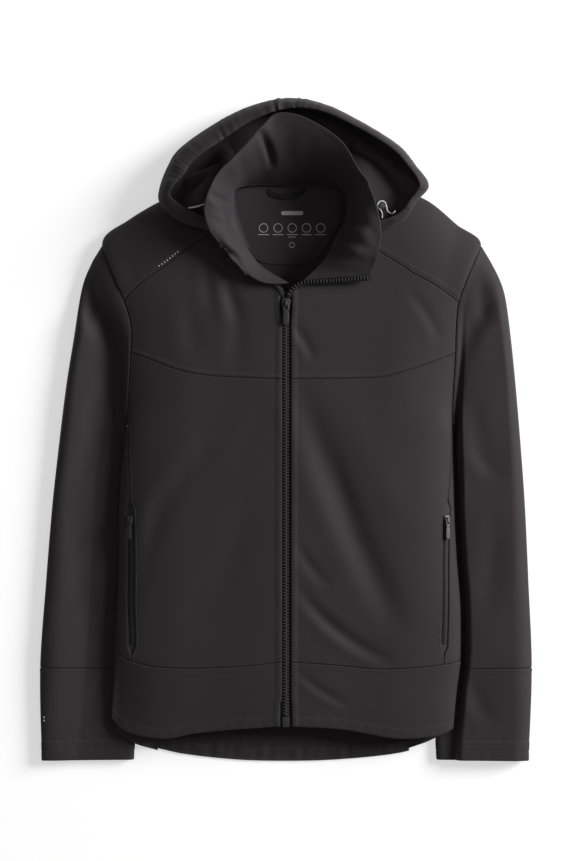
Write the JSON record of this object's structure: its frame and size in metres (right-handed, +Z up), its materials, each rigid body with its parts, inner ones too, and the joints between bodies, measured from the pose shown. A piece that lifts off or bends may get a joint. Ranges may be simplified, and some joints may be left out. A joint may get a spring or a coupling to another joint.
{
  "type": "softshell jacket",
  "caption": "Zip-front softshell jacket with stand collar, hood with drawcord and two zip pockets, laid flat on its back with the collar open.",
  "frame": {"origin": "on the surface the jacket lies on, under the middle of its outline", "axes": "+X towards the wearer's left sleeve, +Y from the hem to the hood, +Z up from the surface, through the back first and then the front"},
  "size_m": [0.6201, 0.8359, 0.0838],
  "materials": {
    "softshell": "matt, bonded softshell with a fine flat weave",
    "facing": "matt, plain weave",
    "zip": "coil teeth on a woven tape",
    "zip_metal": "satin, dark grey",
    "cord": "round braid",
    "cord_lock": "matt"
  },
  "bodies": {
    "jacket": {"chest_left": "softshell", "front_left": "softshell", "side_left": "softshell", "hem_band_left": "softshell", "chest_right": "softshell", "front_right": "softshell", "side_right": "softshell", "hem_band_right": "softshell", "yoke_left": "softshell", "yoke_right": "softshell", "sleeve_left_upper": "softshell", "cuff_left_upper": "softshell", "sleeve_left_under": "softshell", "cuff_left_under": "softshell", "sleeve_right_upper": "softshell", "cuff_right_upper": "softshell", "sleeve_right_under": "softshell", "cuff_right_under": "softshell", "back_panel": "softshell", "hem_band_back": "softshell", "collar": "softshell", "hood_side_left": "softshell", "hood_centre": "softshell", "hood_side_right": "softshell", "hood_brim": "softshell", "zip_chain": "zip", "zip_box": "zip_metal", "zip_slider": "zip_metal", "pocket_zip_left": "zip", "pocket_slider_left": "zip_metal", "pocket_zip_right": "zip", "pocket_slider_right": "zip_metal", "zip_open_left": "zip", "zip_open_right": "zip", "neck_facing": "facing", "hanger_loop": "facing", "hood_cord_left": "cord", "hood_cord_right": "cord", "cord_lock": "cord_lock"},
    "zip_pull": {"zip_pull": "zip_metal"},
    "pocket_pull_left": {"pocket_pull_left": "zip_metal"},
    "pocket_pull_right": {"pocket_pull_right": "zip_metal"}
  },
  "joints": [
    {"name": "zip_pull_hinge", "type": "hinge", "parent": "jacket", "child": "zip_pull", "pos_m": [0, 0.15804, 0.04908], "axis": [-1, 0, 0], "range_deg": [0, 150]},
    {"name": "pocket_pull_left_hinge", "type": "hinge", "parent": "jacket", "child": "pocket_pull_left", "pos_m": [0.20317, -0.11296, 0.03503], "axis": [-0.8947, 0, 0.4467], "range_deg": [0, 140]},
    {"name": "pocket_pull_right_hinge", "type": "hinge", "parent": "jacket", "child": "pocket_pull_right", "pos_m": [-0.19678, -0.11303, 0.03743], "axis": [-0.9087, 0, -0.4175], "range_deg": [0, 140]}
  ]
}
